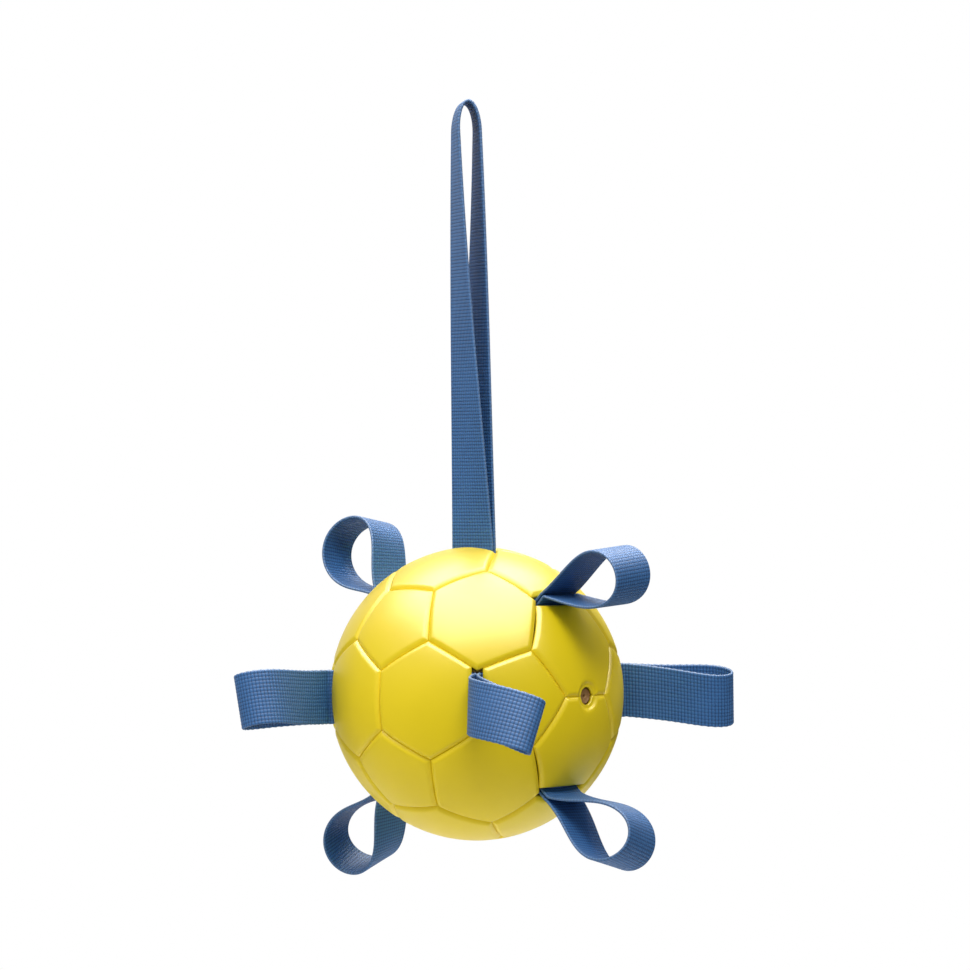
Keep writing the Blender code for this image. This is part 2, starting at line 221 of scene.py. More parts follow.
class Finish:
    """The nodes of a new material, or of a world: their shader and what feeds it."""

    def __init__(self, owner, constants, shader="Principled BSDF"):
        owner.use_nodes = True
        self.owner = owner
        self.tree = owner.node_tree
        self.shader = self.tree.nodes[shader]
        self.feed(self.shader, constants)

    def feed(self, node, inputs):
        """Links values to a node's sockets and sets plain numbers on them."""
        for key, value in inputs.items():
            if isinstance(value, Value):
                self.tree.links.new(value.socket, node.inputs[key])
            else:
                node.inputs[key].default_value = value

    def node(self, kind, settings, inputs, output=0):
        """Adds a node of any kind: settings first, then the values or links of its sockets."""
        node = self.tree.nodes.new(kind)
        for key, value in settings.items():
            setattr(node, key, value)
        self.feed(node, inputs)
        return Value(self, node.outputs[output])

    def place(self):
        """The point in metres, in the row frame."""
        return self.node("ShaderNodeTexCoord", {}, {}, "Object")

    def chart(self):
        """The two coordinates of the piece's own chart."""
        pair = self.node("ShaderNodeUVMap", {"uv_map": "chart"}, {})
        return [self.node("ShaderNodeSeparateXYZ", {}, {0: pair}, axis) for axis in ("X", "Y")]

    def noise(self, place, scale, detail=3.0):
        """Soft noise from 0 to 1, with about as many spots per metre as the scale says."""
        return self.node("ShaderNodeTexNoise", {}, {"Vector": place, "Scale": scale, "Detail": detail})

    def mix(self, factor, first, second):
        """The first colour at factor 0, the second at factor 1."""
        return self.node("ShaderNodeMix", {"data_type": "RGBA"}, {0: factor, 6: first, 7: second}, 2)

    def bump(self, height, distance):
        """A normal that looks like a relief of height times distance, in metres."""
        return self.node("ShaderNodeBump", {}, {"Height": height, "Distance": distance}, "Normal")

    def shade(self, **sockets):
        """Links or sets the shader's sockets, named with underscores for spaces."""
        self.feed(self.shader, {key.replace("_", " "): value for key, value in sockets.items()})
        return self.owner


# %% [markdown]
# ## Yellow rubber
# The cover is satin rubber, almost smooth, with a broad soft shine. Its colour drifts a little from panel
# to panel. A painted highlight makes it paler over the roll of each edge, and painted shade darkens the wall
# of the grooves. The chart of a panel gives the distance from its edge and the depth below the ball, so the
# groove can be told from the face. A painted texture could do the same, but a formula has no fixed
# resolution.

# %% Yellow rubber
YELLOW_DEEP = (0.84, 0.635, 0.002, 1)
YELLOW_PALE = (0.88, 0.665, 0.004, 1)
# A paler yellow for the painted highlight on the edge roll and a dark brown for the painted shade in the
# grooves.
YELLOW_EDGE_HIGHLIGHT = (0.95, 0.80, 0.10, 1)
GROOVE_SHADE = (0.30, 0.19, 0.01, 1)
EDGE_HIGHLIGHT_SHARE = 0.10
GROOVE_SHADE_SHARE = 0.75
CLOUDS_PER_METRE = 22.0
GRAINS_PER_METRE = 1400.0
GRAIN_HEIGHT = 0.00002


def yellow_rubber():
    """Two yellows mixed by a cloud, with a painted highlight over the edge's roll and painted shade down the
    groove's wall.
    """
    constants = {"Metallic": 0.0, "IOR": 1.5, "Specular IOR Level": 0.35}
    rubber = Finish(bpy.data.materials.new("yellow_rubber"), constants)
    place = rubber.place()
    from_edge, depth = rubber.chart()
    cloud = rubber.noise(place, CLOUDS_PER_METRE)
    grain = rubber.noise(place, GRAINS_PER_METRE, detail=2.0)
    colour = rubber.mix(cloud.between(0.35, 0.65), YELLOW_DEEP, YELLOW_PALE)
    # Painted highlight: the yellow turns paler over the roll of each panel's edge.
    edge_highlight = 1 - from_edge.between(0.0, EDGE_ROLL)
    colour = rubber.mix(edge_highlight * EDGE_HIGHLIGHT_SHARE, colour, YELLOW_EDGE_HIGHLIGHT)
    # Painted shade: dark brown down the wall of the groove and under the panel.
    colour = rubber.mix(depth.between(EDGE_DROP, PANEL_THICKNESS) * GROOVE_SHADE_SHARE, colour, GROOVE_SHADE)
    return rubber.shade(
        Base_Color=colour,
        Roughness=0.35 + 0.06 * cloud + 0.05 * grain,
        Normal=rubber.bump(grain, GRAIN_HEIGHT),
    )


YELLOW = yellow_rubber()
print("finish", YELLOW.name, "with", len(YELLOW.node_tree.nodes), "nodes")

# %% [markdown]
# ## Blue webbing
# The webbing is woven with lengthwise ribs. Every 1.7 mm the yarns dive under a cross thread, which makes
# fine ridges across the strip. The chart gives metres across and along the strip, so the weave keeps its
# size on every strap. Painted shade darkens the hollows against the crowns, and a painted highlight makes
# the outer ribs a little paler. Single yarns could be modelled, at a cost of millions of faces.

# %% Blue webbing
RIBS = 15
RIB = WEBBING_WIDTH / RIBS
PICK = 0.0017
# A dark blue for the painted shade in the weave's hollows and a pale blue for the painted highlight on the
# selvedges.
BLUE_HOLLOW_SHADE = (0.011, 0.040, 0.110, 1)
BLUE_CROWN = (0.040, 0.150, 0.380, 1)
BLUE_FADED = (0.05, 0.18, 0.45, 1)
BLUE_SELVEDGE_HIGHLIGHT = (0.30, 0.46, 0.70, 1)
FADING = 0.2
SELVEDGE_HIGHLIGHT_SHARE = 0.20
FIBRES_PER_METRE = 2600.0
FADES_PER_METRE = 60.0
WEAVE_HEIGHT = 0.00015


def blue_webbing():
    """The weave's height, rib arch across times pick arch along, sets the bump and the hollows' painted
    shade.
    """
    constants = {"Metallic": 0.0, "Specular IOR Level": 0.30, "Sheen Weight": 0.02, "Sheen Roughness": 0.4}
    cloth = Finish(bpy.data.materials.new("blue_webbing"), constants)
    across, along = cloth.chart()
    crown = (across / RIB).wave() ** 0.7
    stitch = (along / PICK).wave() ** 0.8
    height = (0.40 + 0.60 * crown) * (0.20 + 0.80 * stitch)
    fibre = cloth.noise(cloth.place(), FIBRES_PER_METRE, detail=2.0)
    fade = cloth.noise(cloth.place(), FADES_PER_METRE)
    # Painted shade: the weave's hollows are darker than its crowns.
    colour = cloth.mix(height.between(0.05, 0.85), BLUE_HOLLOW_SHADE, BLUE_CROWN)
    colour = cloth.mix(fade.between(0.35, 0.75) * FADING, colour, BLUE_FADED)
    # Painted highlight: the outer ribs turn paler at the selvedges.
    rim = (across / WEBBING_WIDTH - 0.5).math("ABSOLUTE")
    colour = cloth.mix(rim.between(0.475, 0.50) * SELVEDGE_HIGHLIGHT_SHARE, colour, BLUE_SELVEDGE_HIGHLIGHT)
    return cloth.shade(
        Base_Color=colour,
        Roughness=0.52 + 0.10 * fibre,
        Normal=cloth.bump(height + 0.10 * fibre, WEAVE_HEIGHT),
    )


BLUE = blue_webbing()
print("finish", BLUE.name, "with", len(BLUE.node_tree.nodes), "nodes")

# %% [markdown]
# ## Straps
# A strap is one strip of webbing. Both ends lie flat on the carcass under the cover, turn up into the slot,
# and come out as the two legs of a loop. A free loop sets out at a flare angle and turns round to come back
# at the same angle, like a bent elastic strip: its direction is linear in its length s with a bow and a
# roundness of one and two sine waves on top. The bow is found by halving until the legs meet the slot.
# A cloth simulation would bend a strip too, but a formula can be fitted to each loop in the photograph.

# %% Middle line of a tab
TAB_LENGTH = 0.123
FLANGE_LENGTH = 0.012
TURN_RADIUS = 0.0010
STEM_HALF = (LEG_PITCH + PLY) / 2
FLANGE_RADIUS = CARCASS_RADIUS - PLY / 2
FLANGE_POINTS = 30
TURN_POINTS = 12
STEM_POINTS = 12
EVEN = 0.01
BOW_LEAST = -2.0
BOW_MOST = 1.0
HALVINGS = 60


def tab_line(flare, roundness, crease, points=960):
    """Loop of a tab as (across, out) points from leg to leg; crease gathers the turn in the fold."""
    s = (np.arange(points) + 0.5) / points
    turned = 0.5 + 0.5 * np.tanh(crease * (2 * s - 1)) / np.tanh(crease)

    def heading(bow):
        even = (np.pi + 2 * flare) * turned - flare
        return even + bow * np.sin(2 * np.pi * s) + roundness * np.sin(4 * np.pi * s)

    low, high = BOW_LEAST, BOW_MOST
    for _ in range(HALVINGS):
        bow = (low + high) / 2
        if np.sin(heading(bow)).mean() * TAB_LENGTH > LEG_PITCH:
            high = bow
        else:
            low = bow
    turn = heading(bow)
    steps = np.stack([np.sin(turn), np.cos(turn)], axis=1) * (TAB_LENGTH / points)
    return np.vstack([np.zeros((1, 2)), np.cumsum(steps, axis=0)]) - (LEG_PITCH / 2, 0)


def rooted(loop):
    """Adds a loop's two ends below the hinge: stem in the slot, quarter turn, flange on the carcass."""
    leg = LEG_PITCH / 2
    floor = math.sqrt(FLANGE_RADIUS**2 - leg**2) - HINGE_RADIUS
    across = np.linspace(-STEM_HALF - FLANGE_LENGTH, -leg - TURN_RADIUS, FLANGE_POINTS)
    flange = np.stack([across, np.sqrt(FLANGE_RADIUS**2 - across**2) - HINGE_RADIUS], axis=1)
    angle = np.linspace(-np.pi / 2, 0, TURN_POINTS)[1:]
    bend = np.array([-leg - TURN_RADIUS, floor + TURN_RADIUS])
    turn = bend + TURN_RADIUS * np.stack([np.cos(angle), np.sin(angle)], axis=1)
    height = np.linspace(turn[-1, 1], 0, STEM_POINTS + 2)[1:-1]
    stem = np.stack([np.full(STEM_POINTS, -leg), height], axis=1)
    end = np.vstack([flange, turn, stem])
    return np.vstack([end, loop, end[::-1] * (-1, 1)])


def even_steps(line, step):
    """The same line at equal steps of length, and the length up to each of its points."""
    length = np.concatenate([[0], np.cumsum(np.linalg.norm(np.diff(line, axis=0), axis=1))])
    count = 2 * round(length[-1] / step / 2)
    wanted = np.linspace(0, length[-1], count + 1)
    return np.stack([np.interp(wanted, length, line[:, k]) for k in range(2)], axis=1), wanted


plain_tab = tab_line(flare=0.2, roundness=0.0, crease=EVEN)
print("tab line ends", plain_tab[[0, -1]].round(5).tolist())

# %% [markdown]
# The strip's section is a flat oval ring of points: two ribbed faces and two round selvedges. It is carried
# along the middle line. Beyond the hinge the loop leans across its slot, sways along it and twists as it
# goes out; inside the slot it stands straight and its flange follows the round of the carcass. The ribs of
# the weave lift the faces a little, in step with the shader's pattern, and the cross threads that turn back
# at the selvedges scallop them.

# %% Strip of webbing
RIB_POINTS = 4
EDGE_POINTS = 7
ROW_STEP = 0.00075
WEAVE_RELIEF = 0.00010
SCALLOP = 0.00012
FACE_LEAST = 0.99 * PLY / 2
SELVEDGE_MOST = 0.6 * PLY / 2
ROUND_FROM = 0.001
ROUND_TO = 0.005
LEAN_FROM = -0.0030
LEAN_TO = 0.0020


def smooth(value, low, high):
    """Runs from 0 to 1 between low and high: three times the square of the share less twice its cube."""
    t = np.clip((value - low) / (high - low), 0, 1)
    return t * t * (3 - 2 * t)


def strip_section():
    """Places across and up, in metres, of the points round a flat section with round edges."""
    half, thick = WEBBING_WIDTH / 2 - PLY / 2, PLY / 2
    face = np.linspace(-half, half, RIBS * RIB_POINTS + 1)
    angle = np.linspace(np.pi / 2, -np.pi / 2, EDGE_POINTS + 2)[1:-1]
    past = half + thick * np.cos(angle)
    width = np.concatenate([face, past, face[::-1], -past])
    side = np.sin(angle)
    height = thick * np.concatenate([np.ones_like(face), side, -np.ones_like(face), -side])
    return width, height


def hang(line, width, twist, lean, sway, curl, skew):
    """Points of a strap's middle surface: twisted about the way out, swayed along the slot, then leaned.

    The lean grows by the curl over the distance from a line that is skewed to the slot, so the strap rolls
    up as a sheet does round a slanting rod: its spine is an arc, found as a chord at the mean of both leans.
    """
    across, out = line[:, :1], line[:, 1:]
    free = np.maximum(out, 0)
    turn = twist(free)
    x = across * np.cos(turn) + width * np.sin(turn)
    y = width * np.cos(turn) - across * np.sin(turn) + free * np.tan(sway)
    round_of_carcass = np.sqrt(FLANGE_RADIUS**2 - width**2) - FLANGE_RADIUS
    sunk = out + round_of_carcass * smooth(-out, ROUND_FROM, ROUND_TO)
    over = sunk * np.cos(skew) - y * np.sin(skew)
    beside = sunk * np.sin(skew) + y * np.cos(skew)
    rolled = curl * np.maximum(over, 0)
    start = lean * smooth(out, LEAN_FROM, LEAN_TO)
    reach = over * np.sinc(rolled / (2 * np.pi))
    rise = reach * np.cos(start + rolled / 2) - x * np.sin(start + rolled)
    side = reach * np.sin(start + rolled / 2) + x * np.cos(start + rolled)
    along_slot = beside * np.cos(skew) - rise * np.sin(skew)
    outwards = rise * np.cos(skew) + beside * np.sin(skew)
    return np.stack([side, along_slot, outwards], axis=-1)


def make_strap(name, body, line, twist, lean=0.0, sway=0.0, curl=0.0, skew=0.0):
    """A woven strip along a line in its slot's frame, from its flange under the cover out to its loop."""
    joint = JOINTS["ball" if body == "handle" else body]
    hinge = np.array(joint["pos_m"])
    along_slot = np.array(joint["axis"])
    outwards = (hinge - BALL_CENTRE) / np.linalg.norm(hinge - BALL_CENTRE)
    axes = np.stack([np.cross(along_slot, outwards), along_slot, outwards])

    line, length = even_steps(rooted(line), ROW_STEP)
    width, height = strip_section()
    crown = np.abs(np.sin(np.pi * (width / WEBBING_WIDTH + 0.5) * RIBS))
    relief = WEAVE_RELIEF * crown * np.sign(height) * (np.abs(height) > FACE_LEAST)
    scallop = SCALLOP * np.cos(2 * np.pi * length[:, None] / (2 * PICK))
    reach = width + scallop * np.sign(width) * (np.abs(height) < SELVEDGE_MOST)

    middle = hang(line, reach, twist, lean, sway, curl, skew)
    nudge = 1e-5
    on = np.gradient(middle, axis=0)
    over = hang(line, reach + nudge, twist, lean, sway, curl, skew) - middle
    normal = np.cross(on, over)
    normal /= np.linalg.norm(normal, axis=-1, keepdims=True)
    points = hinge + (middle + normal * (height + relief)[..., None]) @ axes
    across = np.broadcast_to(width + WEBBING_WIDTH / 2, points.shape[:2])
    along = np.broadcast_to(length[:, None], points.shape[:2])
    chart = np.stack([across, along], axis=-1)
    strap = closed_skin(name, points, BLUE, chart)
    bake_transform(strap)
    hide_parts(body + "_loop", body + "_root")
    print(f"{name}: strip of {length[-1] * 1000:.0f} mm, {2 * len(strap.data.vertices)} triangles")


# %% [markdown]
# ## Tabs
# How each tab hangs was read from the photograph: lean across the slot, sway along it, twist over 50 mm of
# reach, flare of the legs, curl over 50 mm and skew of the line it curls from, in degrees, and the
# roundness and crease of the loop, in this order. Only the tab in front is pressed flat: it curls over on a
# slanting line and ends in a tight fold. The one at the back is out of sight and hangs plain.

# %% Tabs
TWIST_SPAN = 0.05
TABS = {
    "tab_front": (-18.6, -6.2, 0, 8.3, 102.5, -17.2, -0.09, 11),
    "tab_right": (-8, -5, -12, 14, 0, 0, 0.20, EVEN),
    "tab_left": (35, 1, -12, 13, 0, 0, 0.20, EVEN),
    "tab_back": (0, 0, 0, 10, 0, 0, -0.15, EVEN),
    "tab_upper_right": (30, -5, -5, 23, -6, 0, 0.07, EVEN),
    "tab_lower_right": (-11, 3, 20, 15, 0, 0, -0.01, EVEN),
    "tab_upper_left": (-4, 6, -16, 24, 16, 0, -0.15, EVEN),
    "tab_lower_left": (-5, -1, 23, 13, 0, 0, -0.09, EVEN),
}
for tab, (*angles, roundness, crease) in TABS.items():
    lean, sway, twist, flare, curl, skew = np.radians(angles)
    line = tab_line(flare, roundness, crease)
    twist_rate, curl_rate = twist / TWIST_SPAN, curl / TWIST_SPAN
    make_strap(tab + "_strap", tab, line, lambda out: twist_rate * out, lean, sway, curl_rate, skew)

# %% [markdown]
# ## Handle
# The handle hangs from the inside of its top bend. Its legs leave the slot together and bow apart, and the
# whole loop turns by 43 degrees on the way up, quicker above the seam than at the top. It is the same strip
# as a tab on a longer middle line, so the same function makes it.

# %% Handle
HANDLE_RISE = 0.2227
HANDLE_BEND = 0.0150
HANDLE_SPREAD = 0.0110
HANDLE_TWIST = math.radians(43)
HANDLE_TWIST_EASE = 0.33


def handle_line(points=200):
    """Two legs whose gap grows as a quarter sine wave, joined by half an ellipse at the top."""
    straight = HANDLE_RISE - HANDLE_BEND
    up = np.linspace(0, 1, points)
    half = LEG_PITCH / 2 + (HANDLE_SPREAD - LEG_PITCH) / 2 * np.sin(np.pi / 2 * up)
    left = np.stack([-half, straight * up], axis=1)
    angle = np.linspace(np.pi, 0, points)[1:-1]
    bend = np.stack([HANDLE_SPREAD / 2 * np.cos(angle), straight + HANDLE_BEND * np.sin(angle)], axis=1)
    return np.vstack([left, bend, left[::-1] * (-1, 1)])


def handle_twist(out):
    """Turn of the handle at a height: a share of the whole turn that runs ahead of the height."""
    share = out / HANDLE_RISE
    return HANDLE_TWIST * share * (1 + HANDLE_TWIST_EASE * (1 - share))


make_strap("handle_strap", "handle", handle_line(), handle_twist)

# %% [markdown]
# ## Seam net
# The seams are the edges of a truncated icosahedron. Its 60 corners are the cyclic turns of three points
# built on the golden ratio, with every choice of signs. A panel is the ring of corners nearest to the
# middle of a face: five round the corners of an icosahedron, six round the corners of a dodecahedron.
# Cutting the corners off Blender's coarsest icosphere gives the same net, but not exactly the same corners.

# %% Seam net
GOLDEN = (1 + math.sqrt(5)) / 2


def turned_signs(*triples):
    """All cyclic turns of the triples with all signs, as unit vectors without repeats."""
    signs = np.stack(np.meshgrid(*[(-1, 1)] * 3), axis=-1).reshape(-1, 3)
    points = np.vstack([np.roll(signs * triple, turn, axis=1) for triple in triples for turn in range(3)])
    points = np.unique(points.round(9), axis=0)
    return points / np.linalg.norm(points, axis=1, keepdims=True)


CORNERS = turned_signs((0, 1, 3 * GOLDEN), (1, 2 + GOLDEN, 2 * GOLDEN), (GOLDEN, 2, 2 * GOLDEN + 1))
PENT_MIDDLES = turned_signs((0, 1, GOLDEN))
HEX_MIDDLES = turned_signs((1, 1, 1), (0, GOLDEN, 1 / GOLDEN))


def corner_ring(middle, count):
    """The corners of the face round a middle, in order, seen from outside."""
    ring = CORNERS[np.argsort(-CORNERS @ middle)[:count]]
    side = ring[0] - middle * (ring[0] @ middle)
    up = np.cross(middle, side)
    return ring[np.argsort(np.arctan2(ring @ up, ring @ side))]


FACES = [(middle, corner_ring(middle, 5)) for middle in PENT_MIDDLES]
FACES += [(middle, corner_ring(middle, 6)) for middle in HEX_MIDDLES]
print(len(CORNERS), "seam corners,", len(FACES), "faces")

# %% [markdown]
# ## Cover panels
# Every panel is a ring of points that shrinks to its middle on the outside, rolls over at the edge, drops
# down the wall and shrinks to its middle again on the inside. The outline at any distance from the edge
# is the polygon set back from the seams, with its corners rounded: a smaller polygon grown by an arc. Sides
# that hold a strap stand further back. Beside the valve the outline is pushed out to a circle. Grooves cut
# into one sphere would be simpler, but the real panels are separate and their walls show in the slots.

# %% Outline of a panel
SEAM_HALF = 0.00005
SLOT_HALF = 0.0028
CORNER_AT_EDGE = 0.0003
CORNER_ON_FACE = 0.0016
SIDE_POINTS = 40
ARC_POINTS = 8
SAME_WAY = 0.999
VALVE_SIDE = np.array([0.0, -1.0, 0.0])
VALVE_BORE = 0.0046
MOUTH_FLOOR = 0.0058
MOUTH_RIM = 0.0080
MOUTH_DEPTH = 0.0015
SLOT_WAYS = np.array([np.array(joint["pos_m"]) - BALL_CENTRE for joint in JOINTS.values()]) / HINGE_RADIUS


def unit(vectors):
    """Each vector over its length."""
    return vectors / np.linalg.norm(vectors, axis=-1, keepdims=True)


def set_back_corners(inward, set_back):
    """Where neighbouring sides meet on the ball when each is moved inwards by its own distance."""
    before, after = np.roll(inward, 1, axis=0), inward
    near, far = np.roll(set_back, 1), set_back
    cosine = np.einsum("ij,ij->i", before, after)
    spread = 1 - cosine**2
    on_before = (near - cosine * far) / spread
    on_after = (far - cosine * near) / spread
    foot = before * on_before[:, None] + after * on_after[:, None]
    rise = unit(np.cross(before, after))
    return foot + rise * np.sqrt(BALL_RADIUS**2 - (foot**2).sum(axis=1))[:, None]


def outline(corners, from_edge):
    """Unit directions round a panel at a distance inside its edge: an arc for each corner, then a side."""
    inward = unit(np.cross(corners, np.roll(corners, -1, axis=0)))
    middles = unit(corners + np.roll(corners, -1, axis=0))
    slotted = (middles @ SLOT_WAYS.T).max(axis=1) > SAME_WAY
    set_back = np.where(slotted, SLOT_HALF, SEAM_HALF)
    radius = CORNER_AT_EDGE + (CORNER_ON_FACE - CORNER_AT_EDGE) * from_edge / EDGE_ROLL
    inner = set_back_corners(inward, set_back + from_edge + radius)
    share = np.linspace(0, 1, ARC_POINTS)[None, :, None]
    arc_way = unit(np.roll(inward, 1, axis=0)[:, None] * (1 - share) + inward[:, None] * share)
    arcs = inner[:, None] - radius * arc_way
    start, finish = arcs[:, -1:], np.roll(arcs, -1, axis=0)[:, :1]
    share = np.linspace(0, 1, SIDE_POINTS + 2)[None, 1:-1, None]
    sides = start * (1 - share) + finish * share
    missing = set_back[:, None] + from_edge - np.einsum("ijk,ik->ij", sides, inward)
    sides = sides + missing[..., None] * inward[:, None]
    points = np.concatenate([arcs, sides], axis=1).reshape(-1, 3)
    at_valve = middles @ VALVE_SIDE > SAME_WAY
    if at_valve.any():
        points = round_valve(points, inward[at_valve][0], from_edge)
    return unit(points)


def round_valve(points, inward, from_edge):
    """Pushes an outline inwards until it clears a circle about the valve."""
    along = np.cross(inward, VALVE_SIDE)
    x, y = points @ along, points @ inward
    circle = np.sqrt(np.maximum((VALVE_BORE + from_edge) ** 2 - x**2, 0))
    near = np.maximum(y, circle)
    y = np.where(points @ VALVE_SIDE > 0, near, y)
    height = np.sqrt(BALL_RADIUS**2 - x**2 - y**2)
    return x[:, None] * along + y[:, None] * inward + height[:, None] * VALVE_SIDE


# %% [markdown]
# The roll at the edge falls with the square of the way to the seam, so two panels meet in a soft open
# groove, as the photograph shows. The rings run from the middle outwards, over the roll, down the wall and
# back underneath.

# %% Panels
ROLL_STEPS = 10
FACE_RINGS = 14


def sunk_edge(ways, drop):
    """How far a panel lies below the ball: its rolled edge, or the flat dish round the valve."""
    from_axis = BALL_RADIUS * np.linalg.norm(np.cross(ways, VALVE_SIDE), axis=-1)
    from_axis = np.where(ways @ VALVE_SIDE > 0, from_axis, BALL_RADIUS)
    roll = drop * smooth(from_axis, VALVE_BORE, MOUTH_FLOOR)
    return np.maximum(roll, MOUTH_DEPTH * (1 - smooth(from_axis, MOUTH_FLOOR, MOUTH_RIM)))


def make_panel(node, middle, corners):
    """A cover panel of even thickness with rolled edges."""
    distance = EDGE_ROLL * np.linspace(1, 0, ROLL_STEPS)
    drop = EDGE_DROP * (1 - distance / EDGE_ROLL) ** 2
    rim = outline(corners, EDGE_ROLL)
    share = np.linspace(0, 1, FACE_RINGS + 1)[1:-1, None, None]
    face = unit(middle * (1 - share) + rim * share)
    roll = np.stack([outline(corners, inside) for inside in distance])
    fall = np.concatenate([np.zeros(len(face)), drop])[:, None]
    outside = np.concatenate([face, roll])
    outside = outside * (BALL_RADIUS - sunk_edge(outside, fall))[..., None]
    wall = outline(corners, 0.0)
    foot = wall * (BALL_RADIUS - PANEL_THICKNESS)
    inside = unit(middle * (1 - share[::-2]) + wall * share[::-2]) * (BALL_RADIUS - PANEL_THICKNESS)
    rings = np.concatenate([outside, foot[None], inside])
    from_edge = np.concatenate([np.full(len(face), EDGE_ROLL), distance, np.zeros(1 + len(inside))])
    depth = BALL_RADIUS - np.linalg.norm(rings, axis=-1).mean(axis=1)
    chart = np.broadcast_to(np.stack([from_edge, depth], axis=-1)[:, None], rings.shape[:2] + (2,))
    panel = closed_skin(node + "_skin", rings + BALL_CENTRE, YELLOW, chart)
    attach(panel, "ball")
    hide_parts(node)


middles = np.array([middle for middle, _ in FACES])
for node in PANEL_NODES:
    way = np.mean(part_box(node), axis=0) - BALL_CENTRE
    make_panel(node, *FACES[int(np.argmax(middles @ way))])
panel_faces = len(bpy.data.objects["panel_hex_01_skin"].data.polygons)
print(len(PANEL_NODES), "panels of about", 2 * panel_faces, "triangles")

# %% [markdown]
# ## Valve
# A push-in core of brown rubber fills the round mouth between two panels, with a small hole for the needle
# in a shallow dish. It is turned: a profile carried round the valve's axis. A Screw modifier would turn it
# too, but then its two ends would have to be closed by hand.

# %% Valve
HEAD_TOP = 0.0715
HEAD_THICKNESS = 0.0012
HEAD_EDGE = 0.0006
HEAD_RADIUS = 0.0040
STEM_RADIUS = 0.0024
STEM_END = 0.0550
NEEDLE_RADIUS = 0.0008
NEEDLE_DEPTH = 15 * NEEDLE_RADIUS
FUNNEL_DEPTH = 1.5 * NEEDLE_RADIUS
FUNNEL_RADIUS = 1.2 * NEEDLE_RADIUS
FUNNEL_TOP = 0.9 * NEEDLE_RADIUS
LIP_RADIUS = 1.6 * NEEDLE_RADIUS
HEAD_FACE_POINTS = 8
HEAD_EDGE_POINTS = 7
BROWN_DEEP = (0.24, 0.115, 0.030, 1)
BROWN_PALE = (0.33, 0.175, 0.055, 1)
VALVE_CLOUDS_PER_METRE = 300.0
VALVE_GRAINS_PER_METRE = 2500.0
PORE_HEIGHT = 0.00003


def brown_rubber():
    """Two browns mixed by a cloud, with a fine grain in the shine."""
    rubber = Finish(bpy.data.materials.new("valve_rubber"), {"Metallic": 0.0})
    cloud = rubber.noise(rubber.place(), VALVE_CLOUDS_PER_METRE)
    grain = rubber.noise(rubber.place(), VALVE_GRAINS_PER_METRE, detail=2.0)
    colour = rubber.mix(cloud.between(0.3, 0.7), BROWN_DEEP, BROWN_PALE)
    pores = rubber.bump(grain, PORE_HEIGHT)
    return rubber.shade(Base_Color=colour, Roughness=0.5 + 0.2 * grain, Normal=pores)


def make_valve_core(turns=48):
    """A profile of (radius, height), from the needle hole over the head to the stem's end, turned."""
    hole_radius = [NEEDLE_RADIUS, NEEDLE_RADIUS, FUNNEL_RADIUS]
    hole_depth = [NEEDLE_DEPTH, FUNNEL_DEPTH, FUNNEL_TOP]
    hole = np.stack([hole_radius, HEAD_TOP - np.array(hole_depth)], axis=1)
    share = np.linspace(0, 1, HEAD_FACE_POINTS)
    across = LIP_RADIUS + (HEAD_RADIUS - HEAD_EDGE - LIP_RADIUS) * share
    face = np.stack([across, HEAD_TOP - HEAD_EDGE * (1 - share**2)], axis=1)
    angle = np.linspace(0, np.pi / 2, HEAD_EDGE_POINTS)[1:]
    bend = np.array([HEAD_RADIUS - HEAD_EDGE, HEAD_TOP - HEAD_EDGE])
    edge = bend + HEAD_EDGE * np.stack([np.sin(angle), np.cos(angle)], axis=1)
    base = HEAD_TOP - HEAD_THICKNESS
    stem_radius = [HEAD_RADIUS, STEM_RADIUS, STEM_RADIUS, STEM_RADIUS / 2]
    stem = np.stack([stem_radius, [base, base, STEM_END + STEM_RADIUS, STEM_END]], axis=1)
    profile = np.vstack([hole, face, edge, stem])
    around = np.linspace(0, 2 * np.pi, turns, endpoint=False)
    radius, height = profile[:, :1], profile[:, 1:]
    points = np.stack([radius * np.cos(around), -height + 0 * around, radius * np.sin(around)], axis=-1)
    core = closed_skin("valve_core_skin", points + BALL_CENTRE, brown_rubber())
    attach(core, "ball")
    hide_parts("valve_core")
    return core


print("valve core of", len(make_valve_core().data.polygons), "faces")

# %% [markdown]
# ## Layers under the cover
# The carcass shows only as a dark strip at the ends of the slots. It is a wound fabric soaked in rubber;
# the bladder and the valve's housing inside it are black rubber. Their solids are right as they are and
# take procedural finishes.

# %% Inner finishes
FABRIC_DARK = (0.30, 0.18, 0.03, 1)
FABRIC_PALE = (0.40, 0.26, 0.06, 1)
BLACK_DEEP = (0.018, 0.018, 0.019, 1)
BLACK_BLOOM = (0.045, 0.044, 0.042, 1)
THREADS = {"Scale": 260.0, "Distortion": 1.5}
STAINS_PER_METRE = 90.0
BLOOMS_PER_METRE = 140.0
THREAD_HEIGHT = 0.0001
DIMPLE_HEIGHT = 0.00004


def carcass_fabric():
    """Waves for the wound threads, two browns mixed by a stain."""
    fabric = Finish(bpy.data.materials.new("carcass_fabric"), {"Metallic": 0.0})
    place = fabric.place()
    threads = fabric.node("ShaderNodeTexWave", {}, {"Vector": place, **THREADS})
    stain = fabric.noise(place, STAINS_PER_METRE)
    colour = fabric.mix(stain.between(0.3, 0.7), FABRIC_DARK, FABRIC_PALE)
    weave = fabric.bump(threads, THREAD_HEIGHT)
    return fabric.shade(Base_Color=colour, Roughness=0.85 - 0.1 * stain, Normal=weave)


